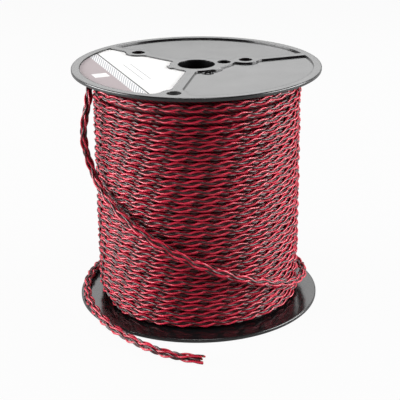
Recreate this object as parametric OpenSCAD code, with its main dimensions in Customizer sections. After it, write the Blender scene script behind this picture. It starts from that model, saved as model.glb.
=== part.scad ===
// Wire spool: two moulded flanges on a barrel, wound with a braided eight-wire cable.
// The spool stands on its lower flange. The origin is the middle of that flange's
// outer face, +Z runs up the bore, and -Y is the side where the cable's end lies.
// Angles are in degrees round +Z, from +X towards +Y.

/* [Spool] */
// Height over both flanges
spool_h = 201; // [185:1:215]
// Outer diameter of each flange
flange_d = 203.2; // [196:0.1:215]
// Thickness of a flange at its rim, spokes and bosses
flange_t = 3.2; // [2.8:0.1:3.8]
// Radius on the rim's two outer edges
edge_r = 0.9; // [0.4:0.1:1.3]
// Diameter of the bore that takes the arbor
bore_d = 30.2; // [28:0.1:31]
// Outer diameter of the barrel
barrel_d = 70; // [69:0.5:84]
// Wall of the barrel
barrel_wall = 2.6; // [1.8:0.1:3.2]

/* [Flange face] */
// Depth of the three panels that are sunk between the spokes
panel_depth = 1.3; // [0.8:0.1:1.6]
// Width of the raised rim
rim_w = 6.7; // [5:0.1:10]
// Width of the raised ring round the bore
hub_ring_w = 6.4; // [5:0.1:8]
// Number of spokes
spoke_count = 3; // [3:1:4]
// Width of a spoke
spoke_w = 8; // [6:0.5:10]
// Angle of the first spoke
spoke_a = 19; // [0:1:60]
// Diameter of the drive holes
drive_hole_d = 11; // [9:0.5:12]
// Width of the boss round a drive hole
drive_boss_w = 5; // [3.5:0.1:6]
// Distance of the inner drive hole from the bore's axis
inner_drive_r = 42.9; // [40:0.1:50]
// Distance of the middle drive hole from the bore's axis
middle_drive_r = 64.8; // [60:0.1:70]
// Distance of the outer drive hole from the flange's edge
outer_drive_inset = 12.9; // [12.9:0.1:16]
// Distance of the hub hole from the bore's axis
hub_hole_r = 23.7; // [23.5:0.1:24.2]
// Diameter of the hub hole
hub_hole_d = 11; // [8:0.5:11.5]
// Angle from the first spoke to the hub hole
hub_hole_turn = -2; // [-4:1:4]
// Radius of the blends where spokes run into bosses
blend_r = 8; // [4:0.5:10]
// Diameter of the dimple round the mould's gate
gate_d = 9.5; // [7:0.5:10]
// Depth of the gate's dimple
gate_depth = 0.9; // [0.5:0.1:1.1]
// Diameter of the gate's stub
gate_stub_d = 2.6; // [2:0.1:4]
// Distance of the gate from the bore's axis
gate_r = 26.6; // [26.4:0.1:28]
// Angle of the gate
gate_a = -70; // [-80:1:-60]

/* [Hub] */
// Wall of the sleeve round the bore
sleeve_wall = 2.4; // [1.8:0.1:2.8]
// Length of the sleeve from the flange's inner face
sleeve_l = 13; // [8:1:20]
// Wall of the spigot that the barrel fits over
spigot_wall = 2; // [1.5:0.1:2.2]
// Length of the spigot
spigot_l = 9; // [5:1:14]
// Radial clearance between spigot and barrel
spigot_fit = 0.1; // [0.05:0.01:0.2]
// Number of ribs between sleeve and spigot
hub_rib_count = 6; // [3:3:6]
// Thickness of a hub rib
hub_rib_t = 1.8; // [1.2:0.1:2.4]

/* [Cable] */
// Diameter of the braided cable
cable_d = 7.2; // [6.4:0.1:7.4]
// Diameter over the finished winding
winding_d = 171.2; // [150:0.1:171.2]
// Least gap that the winding leaves between its turns
turn_gap = 0.5; // [0.45:0.05:1]
// Gap between the cable and what it lies on
lay_gap = 0.3; // [0.1:0.05:0.5]
// Angle at which the winding's last turn leaves the drum
winding_end_a = 172; // [150:1:175]
// Diameter of one insulated wire
wire_d = 1.9; // [1.5:0.1:1.9]
// Diameter of its bare conductor
conductor_d = 1.1; // [0.8:0.05:1.2]
// Length of wire that shows beyond the braid at the cut end
wire_end_l = 11; // [6:0.5:16]
// Length by which a conductor stands out of its insulation
conductor_out = 0.3; // [0.1:0.1:1]

/* [Label] */
// Thickness of the paper label
label_t = 0.25; // [0.15:0.05:0.4]
// Gap round the label's edge
label_gap = 0.4; // [0.2:0.1:1]

/* [Hidden] */
$fn = 96;

black = [0.10, 0.10, 0.11];
paper = [0.95, 0.94, 0.93];
red = [0.70, 0.07, 0.17];
dark = [0.20, 0.15, 0.14];
copper = [0.78, 0.45, 0.27];
braid = [0.52, 0.08, 0.15];

cut = 1;
flange_r = flange_d / 2;
bore_r = bore_d / 2;
rim_inner_r = flange_r - rim_w;
hub_ring_r = bore_r + hub_ring_w;
web_t = flange_t - panel_depth;
spoke_step = 360 / spoke_count;
drive_boss_r = drive_hole_d / 2 + drive_boss_w;
outer_drive_r = flange_r - outer_drive_inset;
hub_hole_a = spoke_a + hub_hole_turn;
hub_boss_r = hub_hole_d / 2 + 3;
hub_blend_r = blend_r / 2;
// Depth by which a blend bites into the outlines it joins, so that they cross cleanly
blend_bite = 0.05;

sleeve_r = bore_r + sleeve_wall;
barrel_r = barrel_d / 2;
barrel_inner_r = barrel_r - barrel_wall;
spigot_r = barrel_inner_r - spigot_fit;
spigot_inner_r = spigot_r - spigot_wall;
barrel_h = spool_h - 2 * flange_t;
gate_stub_h = gate_depth - 0.2;

// The winding: one tube that rises from a pocket in the layers below it, runs round the
// drum from flange to flange, and leaves in a straight run where the tail takes over.
sides_wound = 6;
rings_per_turn = 24;
ring_step = 360 / rings_per_turn;
cable_r = cable_d / 2;
wound_r = winding_d / 2 - cable_r;
wound_low = flange_t + lay_gap + cable_r;
wound_high = spool_h - wound_low;
turns = floor((wound_high - wound_low) / (cable_d + turn_gap));
ring_count = turns * rings_per_turn;
dive_a = 60;
dive_depth = cable_d + 0.8;
dive_rings = dive_a / ring_step;
wall_a = winding_end_a - atan(cable_d / (wound_r - dive_depth));
core_r = wound_r * cos(ring_step / 2) - cable_r - lay_gap;
pocket_r = (wound_r - dive_depth) * cos(ring_step / 2) - cable_r - lay_gap;
pocket_top = wound_low + cable_r + lay_gap;

// The tail's route: [angle round the axis, distance from it, height], in degrees and mm.
// It bows out from the top turn, crosses the winding, goes once behind the drum, lies on
// the lower flange, runs over its rim and ends on the ground.
tail_route = [
    [185.7, 84.4, 193.9], [192, 86.7, 193.2], [196.5, 88.8, 190.7], [200, 90.8, 186.5],
    [202, 92.6, 181.2], [203, 94.6, 175], [203.1, 96.4, 168], [202.6, 97.6, 159],
    [201.9, 97.5, 150], [201.5, 96.2, 141], [201.5, 94.3, 132.5], [202.7, 92.4, 124.5],
    [205.3, 91, 117.3], [209.7, 90.2, 111.2], [217, 90, 104.5], [233, 90, 91.7],
    [252, 90, 76.5], [271, 90, 62], [288, 90, 50], [305, 90, 39.5],
    [321, 90, 31], [335, 90, 25.2], [349, 90, 21.2], [363, 90, 18.5],
    [378, 90, 16.3], [400, 90.5, 13.5], [428, 92, 10.5], [458, 94.5, 8.3],
    [486, 96.8, 7.3], [510, 97.6, 7.3], [532, 96.6, 7.3], [552, 97, 7.3],
    [567, 99.8, 7.3], [577, 103.2, 6.7], [587, 106.6, 4.9], [597, 110.8, 3.8],
    [607, 118, 3.8], [617, 126.4, 3.8], [622.5, 130.5, 3.8], [627, 133, 3.8]
];
tail_sides = 10;
tail_steps = 2;

// The cut end: eight wires in a ring.
wire_count = 8;
wire_ring_r = cable_r - wire_d / 2 - 0.05;
wire_bore_fit = 0.03;
wire_stagger = 0.5;

function polar(r, a) = [r * cos(a), r * sin(a)];
function unit(v) = v / norm(v);
function ease(t) = t * t * (3 - 2 * t);
function cylindrical(p) = [p[1] * cos(p[0]), p[1] * sin(p[0]), p[2]];

// Catmull-Rom curve through b and c
function curve(a, b, c, d, t) =
    (2 * b + (c - a) * t + (2 * a - 5 * b + 4 * c - d) * t * t
    + (3 * b - a - 3 * c + d) * t * t * t) / 2;

// Tangent of a list of points at point i
function along(points, i) =
    unit(points[min(i + 1, len(points) - 1)] - points[max(i - 1, 0)]);

// --- The winding's centre line ---
function wound_point(i) =
    let (
        a = winding_end_a + i * ring_step,
        dive = ease(min(i / dive_rings, 1)),
        rise = max(i - dive_rings, 0) / (ring_count - dive_rings),
        r = wound_r - dive_depth * (1 - dive)
    )
    [r * cos(a), r * sin(a), wound_low + (wound_high - wound_low) * rise];

wall_dir = [-sin(wall_a), cos(wall_a), 0];
wall_point = concat(polar(wound_r - dive_depth, wall_a), wound_low);
end_dir = [-sin(winding_end_a), cos(winding_end_a), 0];
end_point = wound_point(ring_count);
exit_point = end_point + cable_d * end_dir;
wound_line = concat(
    [wall_point, wall_point + cable_d * wall_dir],
    [for (i = [1:ring_count]) wound_point(i)],
    [exit_point]
);
wound_last = len(wound_line) - 1;
wound_dirs = [for (i = [0:wound_last])
    i == 0 ? wall_dir : i == wound_last ? end_dir : along(wound_line, i)];

// --- The tail's centre line ---
exit_cyl = [winding_end_a + atan(cable_d / wound_r), norm([wound_r, cable_d]), wound_high];
tail_controls = concat(
    [[winding_end_a, wound_r, wound_high], exit_cyl],
    tail_route,
    [2 * tail_route[len(tail_route) - 1] - tail_route[len(tail_route) - 2]]
);
tail_spans = len(tail_controls) - 3;
tail_line = concat(
    [for (i = [0:tail_spans - 1], s = [0:tail_steps - 1])
        cylindrical(curve(tail_controls[i], tail_controls[i + 1], tail_controls[i + 2],
            tail_controls[i + 3], s / tail_steps))],
    [cylindrical(tail_controls[tail_spans + 1])]
);
tail_last = len(tail_line) - 1;
tail_end = tail_line[tail_last];
tail_end_dir = unit(tail_end - tail_line[tail_last - 1]);
tail_end_a = atan2(tail_end_dir[1], tail_end_dir[0]);
tail_dirs = [for (i = [0:tail_last])
    i == 0 ? end_dir : i == tail_last ? [cos(tail_end_a), sin(tail_end_a), 0]
    : along(tail_line, i)];

// Least gap between one turn of the winding and the next, on the tube's centre points
function turn_gaps(points, skip) =
    [for (i = [0:len(points) - 1 - skip], j = [i + skip - 3:min(i + skip + 3, len(points) - 1)])
        norm(points[i] - points[j])];
echo(turns = turns, least_gap = min(turn_gaps(wound_line, rings_per_turn)) - cable_d);
echo(tail_rings = len(tail_line),
    tail_length = sum_steps(tail_line) + wire_end_l);

function sum_steps(points, i = 1, total = 0) =
    i == len(points) ? total
    : sum_steps(points, i + 1, total + norm(points[i] - points[i - 1]));

// A closed tube of flat-sided rings along a line, made of triangles
module tube(points, dirs, r, sides) {
    last = len(points) - 1;
    rings = [for (i = [0:last])
        let (
            out = unit([points[i][0], points[i][1], 0]),
            side = unit(out - (out * dirs[i]) * dirs[i]),
            up = cross(dirs[i], side)
        )
        for (k = [0:sides - 1])
            points[i] + r * (cos(k * 360 / sides) * side + sin(k * 360 / sides) * up)];
    walls = [for (i = [0:last - 1], k = [0:sides - 1])
        let (
            next = (k + 1) % sides,
            a = i * sides + k,
            b = i * sides + next,
            c = a + sides,
            d = b + sides
        )
        each [[a, c, b], [b, c, d]]];
    first_cap = [for (k = [1:sides - 2]) [0, k, k + 1]];
    last_cap = [for (k = [1:sides - 2])
        [last * sides, last * sides + k + 1, last * sides + k]];
    polyhedron(points = rings, faces = concat(walls, first_cap, last_cap), convexity = 8);
}

// --- Flange outlines ---
// Concave blend between a straight bar of the given half-width and a round boss
module blend(boss_r, half_w, r) {
    x = sqrt(pow(boss_r + r, 2) - pow(half_w + r, 2));
    for (mx = [0, 1], my = [0, 1]) mirror([mx, 0]) mirror([0, my]) difference() {
        polygon([[0, 0], [x, 0], [x, half_w + r]]);
        translate([x, half_w + r]) circle(r + blend_bite);
    }
}

// Concave blend between a round boss and the rim it runs into
module rim_blend(boss_at, boss_r, rim_r, r) {
    far = rim_r - r;
    a = acos((boss_at * boss_at + far * far - pow(boss_r + r, 2)) / (2 * boss_at * far));
    centre = polar(far, a);
    for (my = [0, 1]) mirror([0, my]) difference() {
        polygon([[boss_at, 0], centre, polar(flange_r, a), [flange_r, 0]]);
        translate(centre) circle(r + blend_bite);
    }
}

// Flat bar that joins two round bosses along their common tangents
module bridge(c1, r1, c2, r2) {
    gap = norm(c2 - c1);
    heading = atan2(c2[1] - c1[1], c2[0] - c1[0]);
    lean = acos((r1 - r2) / gap);
    polygon([
        c1 + polar(r1 - blend_bite, heading + lean), c2 + polar(r2 - blend_bite, heading + lean),
        c2 + polar(r2 - blend_bite, heading - lean), c1 + polar(r1 - blend_bite, heading - lean)
    ]);
}

// Everything on a flange's face that stands at full height inside the rim
module raised_pattern(grow = 0) {
    half_w = spoke_w / 2 + grow;
    drive_r = [inner_drive_r, middle_drive_r, outer_drive_r];
    hub_hole_at = polar(hub_hole_r, hub_hole_a);
    circle(hub_ring_r + grow);
    translate(hub_hole_at) circle(hub_boss_r + grow);
    bridge([0, 0], hub_ring_r + grow, hub_hole_at, hub_boss_r + grow);
    for (i = [0:spoke_count - 1]) rotate(spoke_a + i * spoke_step) {
        translate([0, -half_w]) square([flange_r - edge_r, 2 * half_w]);
        blend(hub_ring_r + grow, half_w, hub_blend_r - grow);
        if (i < len(drive_r)) {
            translate([drive_r[i], 0]) circle(drive_boss_r + grow);
            translate([drive_r[i], 0]) blend(drive_boss_r + grow, half_w, blend_r - grow);
        }
    }
    rotate(spoke_a + 2 * spoke_step)
        rim_blend(outer_drive_r, drive_boss_r + grow, rim_inner_r - grow, blend_r - grow);
}

module panels() {
    difference() {
        circle(rim_inner_r);
        raised_pattern();
    }
}

// --- Flange, inner face at z = 0 and outer face up ---
module flange_disc() {
    rotate_extrude() {
        square([flange_r - edge_r, flange_t]);
        translate([0, edge_r]) square([flange_r, flange_t - 2 * edge_r]);
        for (y = [edge_r, flange_t - edge_r]) translate([flange_r - edge_r, y]) circle(edge_r);
    }
}

module flange_hub() {
    translate([0, 0, -sleeve_l]) cylinder(r = sleeve_r, h = sleeve_l + web_t);
    translate([0, 0, -spigot_l]) difference() {
        cylinder(r = spigot_r, h = spigot_l + web_t / 2);
        translate([0, 0, -cut]) cylinder(r = spigot_inner_r, h = spigot_l + cut);
    }
    for (i = [0:hub_rib_count - 1])
        rotate(spoke_a + (i + 0.5) * 360 / hub_rib_count)
            translate([sleeve_r - cut, -hub_rib_t / 2, -spigot_l + cut])
                cube([spigot_inner_r - sleeve_r + 2 * cut, hub_rib_t, spigot_l]);
}

module through_hole(at, a, d) {
    rotate(a) translate([at, 0, -cut]) cylinder(d = d, h = flange_t + 2 * cut);
}

module flange() {
    difference() {
        union() {
            flange_disc();
            flange_hub();
        }
        translate([0, 0, web_t]) linear_extrude(panel_depth + cut) panels();
        translate([0, 0, -sleeve_l - cut]) cylinder(r = bore_r, h = sleeve_l + flange_t + 2 * cut);
        through_hole(inner_drive_r, spoke_a, drive_hole_d);
        through_hole(middle_drive_r, spoke_a + spoke_step, drive_hole_d);
        through_hole(outer_drive_r, spoke_a + 2 * spoke_step, drive_hole_d);
        through_hole(hub_hole_r, hub_hole_a, hub_hole_d);
        rotate(gate_a) translate([gate_r, 0, web_t - gate_depth]) difference() {
            cylinder(d = gate_d, h = gate_depth + cut);
            translate([0, 0, -cut]) cylinder(d = gate_stub_d, h = gate_stub_h + cut);
        }
    }
}

module upper_flange() {
    color(black) translate([0, 0, spool_h - flange_t]) flange();
}

// The same moulding turned over
module lower_flange() {
    color(black) translate([0, 0, flange_t]) rotate([180, 0, 0]) flange();
}

// Plain tube that stands on both flanges' inner faces, over their spigots
module barrel() {
    color(black) translate([0, 0, flange_t]) difference() {
        cylinder(r = barrel_r, h = barrel_h);
        translate([0, 0, -cut]) cylinder(r = barrel_inner_r, h = barrel_h + 2 * cut);
    }
}

// Paper label that fills the panel between the second and third spokes
module label() {
    color(paper) translate([0, 0, spool_h - panel_depth]) linear_extrude(label_t) difference() {
        intersection() {
            circle(rim_inner_r - label_gap);
            polygon([
                [0, 0], polar(flange_d, spoke_a + spoke_step),
                polar(flange_d, spoke_a + 1.5 * spoke_step),
                polar(flange_d, spoke_a + 2 * spoke_step)
            ]);
        }
        raised_pattern(label_gap);
    }
}

// The layers under the outermost one, as one plain ring with the last layer's pocket
module cable_inner_layers() {
    color(braid) difference() {
        translate([0, 0, flange_t + lay_gap]) difference() {
            cylinder(r = core_r, h = barrel_h - 2 * lay_gap);
            translate([0, 0, -cut]) cylinder(r = barrel_r + lay_gap, h = barrel_h + cut);
        }
        rotate(wall_a) rotate_extrude(angle = dive_a + winding_end_a - wall_a)
            translate([pocket_r, flange_t]) square([core_r, pocket_top - flange_t]);
    }
}

module cable_outer_layer() {
    color(red) tube(wound_line, wound_dirs, cable_r, sides_wound);
}

module cable_tail() {
    color(red) tube(tail_line, tail_dirs, cable_r, tail_sides);
}

// Puts a child that points along +Z on wire i of the cut end
module at_wire(i) {
    translate(tail_end) rotate(tail_end_a) rotate([0, 90, 0])
        rotate((i + 0.5) * 360 / wire_count) translate([wire_ring_r, 0, 0]) children();
}

function wire_l(i) = wire_end_l - (i * 3 % 4) * wire_stagger;

// Insulation of wire i, from the braid's end to the cut
module wire_end(i) {
    at_wire(i) difference() {
        cylinder(d = wire_d, h = wire_l(i));
        translate([0, 0, -cut])
            cylinder(d = conductor_d + 2 * wire_bore_fit, h = wire_l(i) + 2 * cut);
    }
}

module red_wire_end(n) {
    color(red) wire_end(2 * n - 2);
}

module dark_wire_end(n) {
    color(dark) wire_end(2 * n - 1);
}

module conductor(n) {
    color(copper) at_wire(n - 1) cylinder(d = conductor_d, h = wire_l(n - 1) + conductor_out);
}

upper_flange();
lower_flange();
barrel();
label();
cable_inner_layers();
cable_outer_layer();
cable_tail();
for (n = [1:wire_count / 2]) {
    red_wire_end(n);
    dark_wire_end(n);
}
for (n = [1:wire_count])
    conductor(n);
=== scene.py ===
# %% [markdown]
# # A spool of braided cable
# Two black moulded flanges on a barrel carry a cable that is braided from eight insulated
# wires, four red and four dark. The hard parts come from the CAD frame as they are and only
# get their materials here. The cable is built again wire by wire, since its braid is what
# the eye sees first, and a plain tube with a pattern on it would show a smooth outline.

# %% Load the frame
import bpy
import math
import numpy as np
from mathutils import Matrix, Vector


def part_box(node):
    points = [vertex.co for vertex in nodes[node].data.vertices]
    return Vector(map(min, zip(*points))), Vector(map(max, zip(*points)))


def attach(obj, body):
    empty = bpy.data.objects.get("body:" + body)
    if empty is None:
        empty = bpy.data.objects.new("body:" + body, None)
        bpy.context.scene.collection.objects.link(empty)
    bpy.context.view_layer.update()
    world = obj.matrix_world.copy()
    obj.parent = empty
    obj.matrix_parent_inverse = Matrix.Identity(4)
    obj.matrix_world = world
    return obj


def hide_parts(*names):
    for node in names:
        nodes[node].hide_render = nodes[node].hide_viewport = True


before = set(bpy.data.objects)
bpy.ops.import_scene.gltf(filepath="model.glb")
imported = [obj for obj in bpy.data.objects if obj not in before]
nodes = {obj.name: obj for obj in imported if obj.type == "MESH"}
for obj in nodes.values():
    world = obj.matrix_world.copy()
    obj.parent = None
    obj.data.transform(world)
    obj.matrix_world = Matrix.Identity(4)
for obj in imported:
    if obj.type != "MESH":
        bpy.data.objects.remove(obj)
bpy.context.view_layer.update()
MM = 0.001
print("CAD nodes:", len(nodes))

# %% [markdown]
# ## Camera
# A long lens a little under a metre away keeps the flanges' ellipses nearly parallel, as in
# a catalogue picture. The camera is set by its own three axes, so that pitch, yaw and roll
# can be read straight off, where Euler angles would mix them.

# %% Place the camera
CAMERA_AT, LENS = (-0.0005, -0.9294, 0.4354), 105.47
pitch, yaw, roll = (math.radians(a) for a in (20.77, 0.15, -0.55))
forward = Vector((math.sin(yaw) * math.cos(pitch), math.cos(yaw) * math.cos(pitch), -math.sin(pitch)))
level = Vector((math.cos(yaw), -math.sin(yaw), 0))
lift = level.cross(forward)
cam_x = math.cos(roll) * level + math.sin(roll) * lift
cam_y = math.cos(roll) * lift - math.sin(roll) * level

camera = bpy.data.objects.new("camera", bpy.data.cameras.new("camera"))
bpy.context.scene.collection.objects.link(camera)
camera.data.sensor_width = 36
camera.data.lens = LENS
camera.data.clip_end = 50
turned_axes = Matrix((cam_x, cam_y, -forward)).transposed().to_4x4()
camera.matrix_world = Matrix.Translation(CAMERA_AT) @ turned_axes
bpy.context.scene.camera = camera
print("camera looks down by", round(math.degrees(pitch), 1), "degrees")

# %% [markdown]
# ## The cable's line
# The cable is one length: it rises from the layer below, runs up the drum turn on turn and
# leaves the top turn. From there it hangs in a bow, crosses the winding, goes round behind
# the drum along the lower flange and ends on the floor. Angle, radius and height suit both
# stretches: the winding is then plain arithmetic, and the free end is a short list of points
# joined by a Catmull-Rom curve. A spline object would do as well, but the braid needs the
# line as an array.

# %% The winding as a line, in millimetres
WOUND_R, WOUND_LOW, WOUND_HIGH, TURNS, END_A = 82.0, 7.1, 193.9, 26, 172.0
# The first turn comes up out of the layer below over this angle and from this depth.
DIVE_A, DIVE_DEPTH = 60.0, 8.0
# The top turns lie wider: this share of the climb goes faster, by up to this much.
TOP_SHARE, TOP_SLACK = 0.16, 0.34
# Size in millimetres, rate and shift of the sines by which the turns wander, and the shares
# of the climb over which they fade out at its start and end.
R_SINES = [(0.2, 1.72, 0.3), (0.12, 4.33, 2.0), (0.1, 0.41, 1.1)]
Z_SINES = [(0.2, 2.31, 0.4), (0.14, 5.13, 1.9), (0.12, 11.7, 0.7)]
FADE_START, FADE_END = 0.02, 0.01


def cylindrical(p):
    a = np.radians(p[:, 0])
    return np.column_stack([p[:, 1] * np.cos(a), p[:, 1] * np.sin(a), p[:, 2]])


def smooth(t):
    t = np.clip(t, 0, 1)
    return t * t * (3 - 2 * t)


def wander(turned, parts):
    """A hand-wound turn never lies quite true: a few sines that don't repeat per turn."""
    t = np.radians(turned)
    return sum(size * np.sin(rate * t + shift) for size, rate, shift in parts)


turned = np.arange(0, TURNS * 360 + 1, 2.0)
climb = np.clip((turned - DIVE_A) / (TURNS * 360 - DIVE_A), 0, 1)
pace = np.where(turned > DIVE_A, 1 + TOP_SLACK * smooth((climb - 1 + TOP_SHARE) / TOP_SHARE), 0)
rise = np.cumsum(pace) / pace.sum()
ends = smooth(climb / FADE_START) * smooth((1 - climb) / FADE_END)
wound_r = WOUND_R + ends * wander(turned, R_SINES)
wound_z = WOUND_LOW + (WOUND_HIGH - WOUND_LOW) * rise
wound_z = wound_z + ends * wander(turned, Z_SINES)
wound = cylindrical(np.column_stack([
    END_A + turned, wound_r - DIVE_DEPTH * (1 - smooth(turned / DIVE_A)), wound_z,
]))
# The cable leaves the top turn in a straight run of 7.2 mm at a tangent.
STRAIGHT_END = [END_A + 5.018, 82.316, WOUND_HIGH]
wound = np.vstack([wound, cylindrical(np.array([STRAIGHT_END]))])
print("turns:", TURNS, "each", round((WOUND_HIGH - WOUND_LOW) / TURNS, 2), "mm high")

# %% The free end as a line
# Degrees round the spool, then radius and height in millimetres.
ROUTE = [
    [185.7, 84.4, 193.9], [192, 86.7, 193.2], [196.5, 88.8, 190.7], [200, 90.8, 186.5],
    [202, 92.6, 181.2], [203, 94.6, 175], [203.1, 96.4, 168], [202.6, 97.6, 159],
    [201.9, 97.5, 150], [201.5, 96.2, 141], [201.5, 94.3, 132.5], [202.7, 92.4, 124.5],
    [205.3, 91, 117.3], [209.7, 90.2, 111.2], [217, 90, 104.5], [233, 90, 91.7],
    [252, 90, 76.5], [271, 90, 62], [288, 90, 50], [305, 90, 39.5],
    [321, 90, 31], [335, 90, 25.2], [349, 90, 21.2], [363, 90, 18.5],
    [378, 90, 16.3], [400, 90.5, 13.5], [428, 92, 10.5], [458, 94.5, 8.3],
    [486, 96.8, 7.3], [510, 97.6, 7.3], [532, 96.6, 7.3], [552, 97, 7.3],
    [567, 99.8, 7.3], [577, 103.2, 6.7], [587, 106.6, 4.9], [597, 110.8, 3.8],
    [607, 118, 3.8], [617, 126.4, 3.8], [622.5, 130.5, 3.8], [627, 133, 3.8],
]
# How far the wires run on past the end of the braid, and the curve's steps from point to point.
WIRE_END, CURVE_STEPS = 11.0, 24


def catmull_rom(points, steps):
    t = np.linspace(0, 1, steps, endpoint=False)[:, None]
    spans = [
        (2 * b + (c - a) * t + (2 * a - 5 * b + 4 * c - d) * t**2 + (3 * b - a - 3 * c + d) * t**3) / 2
        for a, b, c, d in zip(points, points[1:], points[2:], points[3:])
    ]
    return np.vstack(spans + [points[-2:-1]])


def arc_length(line):
    return np.concatenate([[0], np.cumsum(np.linalg.norm(np.diff(line, axis=0), axis=1))])


def resampled(line, step):
    """The same line with points an even step apart, and the arc length at each."""
    s = arc_length(line)
    even = np.linspace(0, s[-1], max(2, int(round(s[-1] / step)) + 1))
    return np.column_stack([np.interp(even, s, line[:, i]) for i in range(3)]), even


controls = np.array([[END_A, WOUND_R, WOUND_HIGH], STRAIGHT_END] + ROUTE, float)
controls = np.vstack([controls, 2 * controls[-1] - controls[-2]])
free = cylindrical(catmull_rom(controls, CURVE_STEPS))
braid_end = float(arc_length(free)[-1])
heading = (free[-1] - free[-2]) * [1, 1, 0]
heading = heading / np.linalg.norm(heading)
free = np.vstack([free, free[-1] + WIRE_END * heading])
print("wound:", round(arc_length(wound)[-1]), "mm, free:", round(arc_length(free)[-1]), "mm")

# %% [markdown]
# ## The braid
# The eight wires run round the cable as dancers run round a maypole: the red ones one way,
# the dark ones the other, each going over one and under the next. A cosine in the distance
# from the cable's middle does the over and under, and the two turning ways do the rest. At
# the cut end the wires stop crossing, lie side by side and spread a little. Where the cable
# hangs in its bow, its own weight draws the braid tighter. Each wire is a tube of rings made
# straight from arrays, because hundreds of thousands of faces would take minutes as single
# operations or as bevelled curves.

# %% Paths of the single wires
# In millimetres: the wire, the braid's middle radius, its over and under, and one full turn.
WIRE_R, BRAID_R, WEAVE, LEAD = 0.84, 2.0, 0.78, 74.0
# The red wires stand out a little more than the dark ones.
RED_PROUD = 0.2
# A wire meets others eight times in a full turn. SHIFT and FACING set where the braid starts,
# along the cable and round it.
CROSSINGS, SHIFT = 8, 0.35
FACING = math.radians(20.7)
# The hanging bow: how tight the braid is there, how far it is turned, and where it ends.
HUNG_R, HUNG_WEAVE, HUNG_TURN = 1.82, 0.6, math.radians(22.5)
HANG_IN, HANG_END, HANG_OUT = 25, 110, 60
# The cut end: the wires settle, stop crossing, lie in a ring and spread.
SETTLE, EASE = 40, 8.0
RING_R, SPREAD, SPREAD_FROM, SPREAD_OVER = 2.45, 0.65, 4, 15


def normalised(v):
    return v / np.linalg.norm(v, axis=-1, keepdims=True)


def last_crossing():
    """Where the wires begin to stop crossing, so that they end evenly round the cable."""
    target = CROSSINGS * (braid_end - EASE / 2) / LEAD + SHIFT
    odd_half = 2 * round((target - 1.5) / 2) + 1.5
    return (odd_half - SHIFT) * LEAD / CROSSINGS - EASE / 2


def wire_paths(line, s, colour):
    """The four wires of one colour along the cable's line, and the way out of the cable."""
    along = normalised(np.gradient(line, axis=0))
    radial = normalised(line * [1, 1, 0])
    side = normalised(radial - (radial * along).sum(1)[:, None] * along)
    up = np.cross(side, along)
    sign = 1 if colour == "red" else -1
    stop = last_crossing()
    t = np.clip((s - stop) / EASE, 0, 1)
    crossing = CROSSINGS * (np.minimum(s, stop) + EASE * (t - t**3 + t**4 / 2)) / LEAD + SHIFT
    settle = 1 - smooth((s - stop + SETTLE) / SETTLE)
    hangs = smooth(s / HANG_IN) * (1 - smooth((s - HANG_END) / HANG_OUT))
    # No braid is quite even: the whole drifts round slowly, and each wire wanders a little.
    drift = 0.1 * np.sin(s / 161) + 0.07 * np.sin(s / 63.7 + 1)
    twist = settle * (FACING + drift + HUNG_TURN * hangs)
    spread = (RING_R - BRAID_R) * smooth((s - stop) / EASE)
    spread = spread + SPREAD * smooth((s - braid_end + SPREAD_FROM) / SPREAD_OVER)
    middle = BRAID_R - (BRAID_R - HUNG_R) * hangs
    weave = WEAVE - (WEAVE - HUNG_WEAVE) * hangs
    reach = middle + sign * (RED_PROUD - weave * np.cos(np.pi * crossing)) + spread
    paths, outs = [], []
    for k in range(4):
        slack = settle * (0.05 * np.sin(s / 23 + 2.4 * k + sign) + 0.04 * np.sin(s / 9.1 + 1.7 * k))
        turn = sign * np.pi / 4 * crossing + k * np.pi / 2 + twist + slack
        out = np.cos(turn)[:, None] * side + np.sin(turn)[:, None] * up
        paths.append(line + reach[:, None] * out)
        outs.append(out)
    return paths, outs


print("crossing stops", round(braid_end - last_crossing(), 1), "mm before the braid's end")


# %% Tubes from paths
def tube_mesh(paths, sides, radius, outs):
    """Vertices and faces of closed round tubes, one for each path; outs turn each ring."""
    phi = np.arange(sides) * 2 * math.pi / sides
    verts, quads, caps, start = [], [], [], 0
    for path, out in zip(paths, outs):
        along = normalised(np.gradient(path, axis=0))
        u = normalised(out - (out * along).sum(1)[:, None] * along)
        v = np.cross(along, u)
        ring = np.cos(phi)[None, :, None] * u[:, None] + np.sin(phi)[None, :, None] * v[:, None]
        verts.append((path[:, None] + radius * ring).reshape(-1, 3))
        i = (start + np.arange(len(path) - 1) * sides)[:, None]
        k = np.arange(sides)[None]
        n = (k + 1) % sides
        quads.append(np.stack([i + k, i + n, i + sides + n, i + sides + k], -1).reshape(-1, 4))
        caps.append([start + j for j in reversed(range(sides))])
        start += len(path) * sides
        caps.append([start - sides + j for j in range(sides)])
    return np.vstack(verts), np.vstack(quads).tolist() + caps


def mesh_piece(name, verts, faces, material):
    mesh = bpy.data.meshes.new(name)
    mesh.from_pydata((verts * MM).tolist(), [], faces)
    mesh.polygons.foreach_set("use_smooth", [len(f) == 4 for f in faces])
    mesh.materials.append(material)
    mesh.update()
    piece = bpy.data.objects.new(name, mesh)
    bpy.context.scene.collection.objects.link(piece)
    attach(piece, "root")
    return piece


short_wire = np.array([[0.0, 0.0, z] for z in range(3)])
verts, faces = tube_mesh([short_wire], 6, WIRE_R, [np.array([[1.0, 0.0, 0.0]] * 3)])
print("a six-sided wire of three rings:", len(verts), "points,", len(faces), "faces")

# %% [markdown]
# ## Materials
# Colours are written as sRGB hex and turned to linear by one function. A pattern's scale is
# worked out from a real size in millimetres by one more. Nodes are added by a single helper
# that takes links and settings, which keeps each material a short list.

# %% Helpers for materials
# How high the fine grain of any skin stands.
GRAIN_HEIGHT = 0.02 * MM


def linear(hexcode):
    parts = [int(hexcode[i:i + 2], 16) / 255 for i in (1, 3, 5)]
    return [c / 12.92 if c <= 0.04045 else ((c + 0.055) / 1.055) ** 2.4 for c in parts] + [1]


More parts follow.
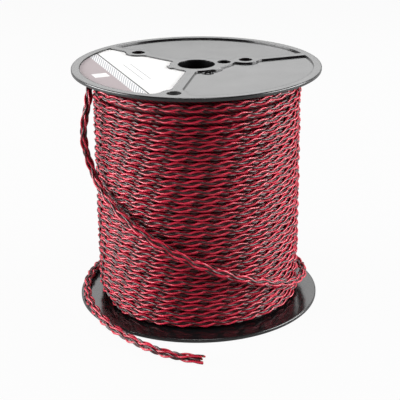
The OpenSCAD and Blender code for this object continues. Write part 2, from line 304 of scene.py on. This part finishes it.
def per_mm(size):
    """Texture scale at which one feature is this many millimetres wide."""
    return 1 / (size * MM)


def new_material(name, **settings):
    material = bpy.data.materials.new(name)
    material.use_nodes = True
    shader = material.node_tree.nodes["Principled BSDF"]
    for key, value in settings.items():
        shader.inputs[key.replace("_", " ")].default_value = value
    return material, material.node_tree, shader


def add(tree, kind, links=None, stops=(), **settings):
    """One node: links by input name or number, settings by attribute or input name, and
    for a colour ramp its stops, as positions and hex colours."""
    node = tree.nodes.new("ShaderNode" + kind)
    for i, (position, colour) in enumerate(stops):
        elements = node.color_ramp.elements
        element = elements[i] if i < len(elements) else elements.new(1)
        element.position, element.color = position, linear(colour)
    for key, value in settings.items():
        if hasattr(node, key):
            setattr(node, key, value)
        elif key.startswith("in") and key[2:].isdigit():
            node.inputs[int(key[2:])].default_value = value
        else:
            node.inputs[key.replace("_", " ")].default_value = value
    for key, source in (links or {}).items():
        tree.links.new(source, node.inputs[key])
    return node


print("mid grey in linear light:", round(linear("#808080")[0], 3))

# %% [markdown]
# ### Wire insulation
# Soft PVC, extruded hot round the copper and cooled in water. It comes out with a wet gloss
# that draws a thin light line along every wire, and a skin that is not quite even: the
# colour drifts a little from one centimetre to the next, and the die leaves faint ripples.
# The dark wires are a brown black, less glossy; the red in their colour is painted bounce light from the
# red wires.

# %% Extruded PVC
# In millimetres: one patch of the drifting colour, and one ripple of the skin.
CLOUD, RIPPLE = 14, 0.9


def extruded_pvc(name, main, shade, rough):
    material, tree, shader = new_material(name, Roughness=rough, IOR=1.53)
    place = add(tree, "NewGeometry")
    cloud = add(tree, "TexNoise", {"Vector": place.outputs["Position"]}, Scale=per_mm(CLOUD), Detail=2.0)
    tint = add(tree, "ValToRGB", {"Fac": cloud.outputs["Fac"]}, stops=[(0.35, shade), (0.65, main)])
    tree.links.new(tint.outputs["Color"], shader.inputs["Base Color"])
    skin = add(tree, "TexNoise", {"Vector": place.outputs["Position"]}, Scale=per_mm(RIPPLE), Detail=2.0)
    bump = add(tree, "Bump", {"Height": skin.outputs["Fac"]}, Strength=0.15, Distance=GRAIN_HEIGHT)
    tree.links.new(bump.outputs["Normal"], shader.inputs["Normal"])
    dull = add(tree, "MapRange", {"Value": skin.outputs["Fac"]}, To_Min=rough - 0.05, To_Max=rough + 0.07)
    tree.links.new(dull.outputs["Result"], shader.inputs["Roughness"])
    return material


red_pvc = extruded_pvc("red_extruded_pvc", "#c2203c", "#a6162e", 0.32)
# The dark wires' brown black carries a red tint: painted red bounce light from the wires beside them.
dark_pvc = extruded_pvc("dark_extruded_pvc", "#44161a", "#300f12", 0.38)
COLOURS = {"red": red_pvc, "dark": dark_pvc}
print("insulation:", [m.name for m in COLOURS.values()])

# %% [markdown]
# ## Winding
# The outermost layer, turn beside turn up the drum. It is the same braid all the way, so the
# wires are swept along the whole winding at once, one mesh for each colour. Six sides a wire
# are enough at this distance, because the normals are smoothed.

# %% Wind the cable
WOUND_STEP, WOUND_SIDES = 1.4, 6
for colour, material in COLOURS.items():
    line, s = resampled(wound, WOUND_STEP)
    paths, outs = wire_paths(line, s - s[-1], colour)
    verts, faces = tube_mesh(paths, WOUND_SIDES, WIRE_R, outs)
    piece = mesh_piece("winding_" + colour + "_wires", verts, faces, material)
    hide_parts("cable_outer_layer")
    print(piece.name, len(faces), "faces")

# %% [markdown]
# ## Layers below
# Between the outer turns, and most at the top where they lie wider, the turns of the next
# layer show as dark ridges. They could be wound like the outer ones, at twice the weight for
# slivers of a millimetre. A ribbed sleeve does it: its ribs climb with the winding, half a
# turn's height off, so that each outer turn lies in a groove. Slanting stripes of both wire
# colours, darkened as painted shade, stand for the braid.

# %% Ribbed sleeve under the outer turns
# How far in the next layer lies, and its cable's radius. GROOVE is the square of a rib's least
# height, which gives the grooves a narrow floor.
LAYER_DROP, CABLE_R, GROOVE = 6.2, 3.6, 0.4
# The ribs sink a little more than a whole layer, so that the outer turns never touch them.
SUNK = 1.0
CLEAR_OF_BARREL, CLEAR_OF_FLANGE = 0.1, 0.05
STEP_A, STEP_Z = 3.0, 0.55
# The pocket that the first turn starts from: how far it runs past the turn, and its height.
POCKET_PAST, POCKET_FADE_A, POCKET_TOP, POCKET_FADE_Z = 8, 20, 16, 5
low, high = (v[2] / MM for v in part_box("cable_inner_layers"))
inner_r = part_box("barrel")[1][0] / MM + CLEAR_OF_BARREL
around = np.arange(0, 360, STEP_A)
heights = np.arange(low + CLEAR_OF_FLANGE, high, STEP_Z)


def rib_phase(angle, z):
    """Turns of the winding up to this height at this angle, halfway between two being 0.5."""
    count = np.interp(z, wound_z, turned / 360)
    return (count - (angle - END_A) / 360) % 1


grid_a, grid_z = np.meshgrid(around, heights)
across = (rib_phase(grid_a, grid_z) - 0.5) * (WOUND_HIGH - WOUND_LOW) / TURNS
rib = np.sqrt(np.maximum(CABLE_R**2 - across**2, GROOVE))
past_pocket = DIVE_A + POCKET_PAST - (grid_a - END_A) % 360
in_pocket = smooth(past_pocket / POCKET_FADE_A) * smooth((POCKET_TOP - grid_z) / POCKET_FADE_Z)
sleeve_r = WOUND_R - LAYER_DROP + rib - SUNK - (DIVE_DEPTH - SUNK) * in_pocket
outside = cylindrical(np.column_stack([grid_a.ravel(), sleeve_r.ravel(), grid_z.ravel()]))
rims = [cylindrical(np.column_stack([around, np.full(len(around), inner_r), np.full(len(around), z)]))
        for z in (heights[0], heights[-1])]
rows = np.arange(len(heights) * len(around)).reshape(len(heights), -1)
foot = len(outside) + np.arange(len(around))
rows = np.vstack([foot, rows, foot + len(around), foot])
after = np.roll(rows, -1, axis=1)
faces = np.stack([rows[:-1], after[:-1], after[1:], rows[1:]], -1).reshape(-1, 4).tolist()
print("sleeve:", len(faces), "faces, ribs from", round(float(sleeve_r.min()), 1), "to",
      round(float(sleeve_r.max()), 1), "mm radius")

# %% Striped PVC of the layers below
# A dark and a red stripe together take up so many millimetres round the drum, and up it.
STRIPE, STRIPE_HEIGHT = 5.0, 2.4
shaded, tree, shader = new_material("braid_in_shade", Roughness=0.35, IOR=1.53)
place = add(tree, "NewGeometry")
angle = add(tree, "TexGradient", {"Vector": place.outputs["Position"]}, gradient_type="RADIAL")
height = add(tree, "SeparateXYZ", {"Vector": place.outputs["Position"]})
round_count = round(2 * math.pi * (WOUND_R - CABLE_R) / STRIPE)
turns_in = add(tree, "Math", {0: angle.outputs["Fac"]}, operation="MULTIPLY", in1=float(round_count))
slant = add(tree, "Math", {0: height.outputs["Z"], 2: turns_in.outputs[0]}, operation="MULTIPLY_ADD",
            in1=per_mm(STRIPE_HEIGHT))
wave = add(tree, "Math", {0: slant.outputs[0]}, operation="FRACT")
# The stripes are the wire colours darkened: painted shade on the layer below.
stripes = add(tree, "ValToRGB", {"Fac": wave.outputs[0]}, stops=[
    (0.0, "#1e0a0c"), (0.45, "#2a0c10"), (0.55, "#7a0e20"), (1.0, "#640a19"),
])
tree.links.new(stripes.outputs["Color"], shader.inputs["Base Color"])
sleeve = mesh_piece("cable_turns_below", np.vstack([outside] + rims), faces, shaded)
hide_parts("cable_inner_layers")
print(sleeve.name, "has", round_count, "stripes round it")

# %% [markdown]
# ## Free end
# The stretch from the top turn to the cut end carries the braid on without a break: its arc
# length starts where the winding's ends. It comes closest to the eye, so its tubes are
# finer. The wires are cut by hand, each to its own length.

# %% Lay the free end
FREE_STEP, FREE_SIDES, CUT_STEP, FLOOR_GAP = 0.7, 12, 0.5, 0.02
line, s = resampled(free, FREE_STEP)
tails, tips = {}, []
for colour, material in COLOURS.items():
    paths, outs = wire_paths(line, s, colour)
    for k in range(4):
        number = 2 * k + (colour == "dark")
        keep = s <= braid_end + WIRE_END - (number * 3 % 4) * CUT_STEP
        paths[k], outs[k] = paths[k][keep], outs[k][keep]
        paths[k][:, 2] = np.maximum(paths[k][:, 2], WIRE_R + FLOOR_GAP)
        tips.append((number, paths[k][-1], normalised(paths[k][-1] - paths[k][-4]), outs[k][-1]))
    verts, faces = tube_mesh(paths, FREE_SIDES, WIRE_R, outs)
    tails[colour] = mesh_piece("tail_" + colour + "_wires", verts, faces, material)
    ends_named = [colour + "_wire_end_" + str(n) for n in (1, 2, 3, 4)]
    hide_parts("cable_tail", *ends_named)
    print(tails[colour].name, len(faces), "faces")

# %% [markdown]
# ## Core of the free end
# Soft wires squeeze into each other in the middle of a cable, so that no light shows
# through its braid. Round tubes that only touch leave holes there. Pressing them together
# would take a simulation; a thin dark core down the middle fills the holes unseen.

# %% Thread the core
CORE_R = 1.15
braided = s <= last_crossing()
one_way = np.tile(outs[0][0], (braided.sum(), 1))
verts, faces = tube_mesh([line[braided]], FREE_SIDES, CORE_R, [one_way])
tail_core = mesh_piece("tail_core", verts, faces, dark_pvc)
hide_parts("cable_tail")
print(tail_core.name, len(faces), "faces")

# %% [markdown]
# ## Copper cores
# Each wire holds seven strands, one in the middle and six round it, nipped off just outside
# the insulation. Only a few millimetres can show, so each core is seven short rods. Copper
# freshly cut is bright and orange, and the drawn strands scatter the light along them.

# %% Strands at the cut end
# A strand's radius and sides, how far it shows, how far in it starts, how unevenly it is cut.
STRAND_R, STRAND_SIDES, OUT, IN, NIPPED = 0.17, 8, 0.3, 1.2, 0.06
TARNISH = 0.6
copper, tree, shader = new_material("drawn_copper", Metallic=1.0, Roughness=0.3)
place = add(tree, "NewGeometry")
tarnish = add(tree, "TexNoise", {"Vector": place.outputs["Position"]}, Scale=per_mm(TARNISH), Detail=2.0)
tone = add(tree, "ValToRGB", {"Fac": tarnish.outputs["Fac"]},
           stops=[(0.35, "#b8673f"), (0.65, "#d98c5f")])
tree.links.new(tone.outputs["Color"], shader.inputs["Base Color"])
draw = add(tree, "MapRange", {"Value": tarnish.outputs["Fac"]}, To_Min=0.22, To_Max=0.4)
tree.links.new(draw.outputs["Result"], shader.inputs["Roughness"])
for number, tip, ahead, out in tips:
    second = np.cross(ahead, out)
    offsets = [np.zeros(3)] + [
        2 * STRAND_R * (math.cos(j * math.pi / 3) * out + math.sin(j * math.pi / 3) * second)
        for j in range(6)
    ]
    rods = [np.array([tip + o + ahead * d for d in (-IN, 0, OUT - NIPPED * (j % 3))])
            for j, o in enumerate(offsets)]
    verts, faces = tube_mesh(rods, STRAND_SIDES, STRAND_R, [np.tile(out, (3, 1))] * 7)
    core = mesh_piece("copper_strands_" + str(number + 1), verts, faces, copper)
    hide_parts("conductor_" + str(number + 1))

print("cord from", [round(float(v)) for v in line[0]], "to", [round(float(v)) for v in line[-1]], "mm")

# %% [markdown]
# ## Flanges and barrel
# Black polystyrene, injection moulded in a polished tool. It mirrors a bright background at
# a low angle and is nearly black straight on, which one colour with an index of 1.59 gives
# without help. The tool's fine texture and the melt's flow make the gloss a little uneven,
# and handling has scuffed the rim duller and greyer than the face. A moulding has no sharp
# edge: a Bevel node rounds the steps in the shading, which leaves the CAD solids alone.

# %% Moulded polystyrene
# In millimetres: the flow marks, the tool's grain, the moulded radius and the scuffed rim.
FLOW, TOOL_GRAIN, EDGE_R, RIM_FROM, RIM_TO = 25, 0.5, 0.6, 99.8, 101.4
plastic, tree, shader = new_material("moulded_black_polystyrene", IOR=1.59)
place = add(tree, "NewGeometry")
flow = add(tree, "TexNoise", {"Vector": place.outputs["Position"]}, Scale=per_mm(FLOW), Detail=3.0)
grain = add(tree, "TexNoise", {"Vector": place.outputs["Position"]}, Scale=per_mm(TOOL_GRAIN), Detail=3.0)
flat = add(tree, "VectorMath", {0: place.outputs["Position"]}, operation="MULTIPLY", in1=(1, 1, 0))
from_axis = add(tree, "VectorMath", {0: flat.outputs[0]}, operation="LENGTH")
edge = add(tree, "MapRange", {"Value": from_axis.outputs["Value"]},
           From_Min=RIM_FROM * MM, From_Max=RIM_TO * MM)
patchy = add(tree, "Math", {0: edge.outputs["Result"], 1: flow.outputs["Fac"]}, operation="MULTIPLY")
scuffed = add(tree, "Mix", {"Factor": patchy.outputs[0]}, data_type="RGBA",
              in6=linear("#0f0f10"), in7=linear("#161618"))
tree.links.new(scuffed.outputs[2], shader.inputs["Base Color"])
sheen = add(tree, "MapRange", {"Value": flow.outputs["Fac"]}, To_Min=0.17, To_Max=0.24)
worn = add(tree, "Math", {0: patchy.outputs[0], 2: sheen.outputs["Result"]},
           operation="MULTIPLY_ADD", in1=0.05)
tree.links.new(worn.outputs[0], shader.inputs["Roughness"])
rounded = add(tree, "Bevel", samples=8, Radius=EDGE_R * MM)
bump = add(tree, "Bump", {"Height": grain.outputs["Fac"], "Normal": rounded.outputs["Normal"]},
           Strength=0.12, Distance=GRAIN_HEIGHT)
tree.links.new(bump.outputs["Normal"], shader.inputs["Normal"])
for name in ("upper_flange", "lower_flange", "barrel"):
    nodes[name].data.materials.clear()
    nodes[name].data.materials.append(plastic)
print("plastic on the two flanges and the barrel")

# %% [markdown]
# ## Label
# Coated white paper, printed in greys: a solid corner field with a blank patch, a band of
# fine strokes and a thin rule beside it, and two faint lines to write on. Everything runs
# along one chord of the flange, so the print is drawn from two lengths: the distance out
# along the panel's middle, and the distance along the chord. No words are printed on it.

# %% Lengths across the label
LABEL_A = 200.7
paper, tree, shader = new_material("coated_paper", Roughness=0.65, IOR=1.45)
place = add(tree, "NewGeometry")


def length_along(degrees):
    """Millimetres from the spool's axis along a direction in the label's plane."""
    angle = math.radians(degrees)
    way = (math.cos(angle) / MM, math.sin(angle) / MM, 0)
    dot = add(tree, "VectorMath", {0: place.outputs["Position"]}, operation="DOT_PRODUCT", in1=way)
    return dot.outputs["Value"]


def where(*windows):
    """A mask: 1 where one or two lengths lie between their bounds, 0 elsewhere."""
    inside = [
        add(tree, "Math", {0: length}, operation="COMPARE", in1=(low + high) / 2, in2=(high - low) / 2)
        for length, (low, high) in windows
    ]
    both = add(tree, "Math", {0: inside[0].outputs[0], 1: inside[-1].outputs[0]}, operation="MULTIPLY")
    return both.outputs[0]


out_mm, chord_mm = length_along(LABEL_A), length_along(LABEL_A + 90)
print("the label's panel points to", LABEL_A, "degrees")

# %% Print the label
# Millimetres out along the panel, and to both sides of its middle.
LINES, LINE_HALF, LINE_ENDS = (48.0, 54.0), 0.3, (-26.0, 26.0)
RULE, HATCH, FIELD = (62.5, 63.8), (64.6, 72.2), (72.2, 105.0)
PATCH_OUT, PATCH_ALONG = (74.8, 87.0), (-5.7, 5.7)
# The strokes are finer on a printed label; at this width they are just wide enough to show.
STROKE, FIBRE = 0.9, 0.8
folded = add(tree, "Math", {0: length_along(0)}, operation="PINGPONG", in1=STROKE)
stroke = add(tree, "Math", {0: folded.outputs[0]}, operation="GREATER_THAN", in1=STROKE / 2)
band = add(tree, "Math", {0: where((out_mm, HATCH)), 1: stroke.outputs[0]}, operation="MULTIPLY")
fibre = add(tree, "TexNoise", {"Vector": place.outputs["Position"]}, Scale=per_mm(FIBRE), Detail=3.0)
sheet = add(tree, "ValToRGB", {"Fac": fibre.outputs["Fac"]}, stops=[(0.3, "#f1f0ef"), (0.7, "#f8f7f6")])
colour = sheet.outputs["Color"]
prints = [
    (where((out_mm, (middle - LINE_HALF, middle + LINE_HALF)), (chord_mm, LINE_ENDS)), "#9a9a9e")
    for middle in LINES
]
prints += [
    (where((out_mm, RULE)), "#56565a"),
    (band.outputs[0], "#bcbdc2"),
    (where((out_mm, FIELD)), "#b0a4a6"),
    (where((out_mm, PATCH_OUT), (chord_mm, PATCH_ALONG)), "#f4f3f2"),
]
for mask, ink in prints:
    printed = add(tree, "Mix", {0: mask, 6: colour}, data_type="RGBA", in7=linear(ink))
    colour = printed.outputs[2]
tree.links.new(colour, shader.inputs["Base Color"])
tooth = add(tree, "Bump", {"Height": fibre.outputs["Fac"]}, Strength=0.1, Distance=GRAIN_HEIGHT)
tree.links.new(tooth.outputs["Normal"], shader.inputs["Normal"])
nodes["label"].data.materials.clear()
nodes["label"].data.materials.append(paper)
print("label printed with", len(prints), "marks")

# %% [markdown]
# ## Floor
# A plain pale sheet. Nearly all that the camera sees of it is its own white glow, so that it
# reads as white and keeps a faint shadow under the spool. The gloss of wires and plastic
# mirrors a smaller share of that glow. The sheet itself is a light grey, since a whiter one
# throws so much light up that the dark wires turn grey.

# %% White floor
HALF = 4.0
SEEN_GLOW, MIRRORED_GLOW = 0.95, 0.2
floor = bpy.data.objects.new("floor", bpy.data.meshes.new("floor"))
corners = [(-HALF, -HALF, 0), (HALF, -HALF, 0), (HALF, HALF, 0), (-HALF, HALF, 0)]
floor.data.from_pydata(corners, [], [(0, 1, 2, 3)])
bpy.context.scene.collection.objects.link(floor)
white, tree, shader = new_material("white_floor", Base_Color=linear("#a2a2a2"), Roughness=0.9)
glow = add(tree, "Emission", Strength=1.0)
rays = add(tree, "LightPath")
in_gloss = add(tree, "Math", {0: rays.outputs["Is Glossy Ray"], 1: rays.outputs["Is Transmission Ray"]},
               operation="MAXIMUM")
mirrored = add(tree, "Math", {0: in_gloss.outputs[0]}, operation="MULTIPLY", in1=MIRRORED_GLOW)
seen = add(tree, "Math", {0: rays.outputs["Is Camera Ray"]}, operation="MULTIPLY", in1=SEEN_GLOW)
share = add(tree, "Math", {0: seen.outputs[0], 1: mirrored.outputs[0]}, operation="MAXIMUM")
mix = add(tree, "MixShader", {0: share.outputs[0], 1: shader.outputs[0], 2: glow.outputs[0]})
tree.links.new(mix.outputs[0], tree.nodes["Material Output"].inputs["Surface"])
floor.data.materials.append(white)
print(floor.name, 2 * HALF, "m square")

# %% [markdown]
# ## Light
# A white studio: big soft boxes left, right and behind, and a small strong one high in
# front. The sides of the winding catch most of it and the middle stays deep, which models
# the drum. The box behind is what the flange's face mirrors. The world is white to the
# camera, adds next to no light of its own, and is a dim grey in the gloss, paler behind.

# %% World
AMBIENT, GLOSS_FRONT, GLOSS_BACK = 0.04, 0.08, 0.18
world = bpy.data.worlds.new("studio")
bpy.context.scene.world = world
world.use_nodes = True
tree = world.node_tree
rays = add(tree, "LightPath")
seen = add(tree, "Math", {0: rays.outputs["Is Camera Ray"], 1: rays.outputs["Is Glossy Ray"]},
           operation="MAXIMUM")
seen = add(tree, "Math", {0: seen.outputs[0], 1: rays.outputs["Is Transmission Ray"]},
           operation="MAXIMUM")
around_us = add(tree, "TexCoord")
way = add(tree, "SeparateXYZ", {"Vector": around_us.outputs["Generated"]})
in_gloss = add(tree, "MapRange", {"Value": way.outputs["Y"]}, From_Min=-0.1, From_Max=0.8,
               To_Min=GLOSS_FRONT, To_Max=GLOSS_BACK)
shown = add(tree, "Math", {0: in_gloss.outputs["Result"], 1: rays.outputs["Is Camera Ray"]},
            operation="MAXIMUM")
strength = add(tree, "Mix", {"Factor": seen.outputs[0], "B": shown.outputs[0]}, A=AMBIENT)
background = tree.nodes["Background"]
tree.links.new(strength.outputs["Result"], background.inputs["Strength"])
background.inputs["Color"].default_value = (1, 1, 1, 1)
print("world lights with a strength of", AMBIENT)


# %% Soft boxes
def soft_box(name, place, target, width, height, radiance):
    light = bpy.data.lights.new(name, "AREA")
    light.shape, light.size, light.size_y = "RECTANGLE", width, height
    light.energy = radiance * math.pi * width * height
    lamp = bpy.data.objects.new(name, light)
    lamp.location = place
    lamp.rotation_euler = (Vector(target) - Vector(place)).to_track_quat("-Z", "Y").to_euler()
    lamp.visible_camera = False
    bpy.context.scene.collection.objects.link(lamp)


# Name, place, what it faces, width and height in metres, radiance.
BOXES = [
    ("back_box", (0, 0.95, 0.68), (0, 0, 0.2), 2.4, 0.6, 1.9),
    ("left_box", (-1.7, -0.1, 0.45), (0, 0, 0.1), 1.5, 0.9, 15.0),
    ("right_box", (1.7, -0.1, 0.45), (0, 0, 0.1), 1.5, 0.9, 13.8),
    ("top_box", (0, -0.65, 1.9), (0, 0, 0.1), 0.8, 0.5, 11.2),
]
for box in BOXES:
    soft_box(*box)
bpy.context.scene.view_settings.view_transform = "Standard"
print("soft boxes:", [box[0] for box in BOXES])
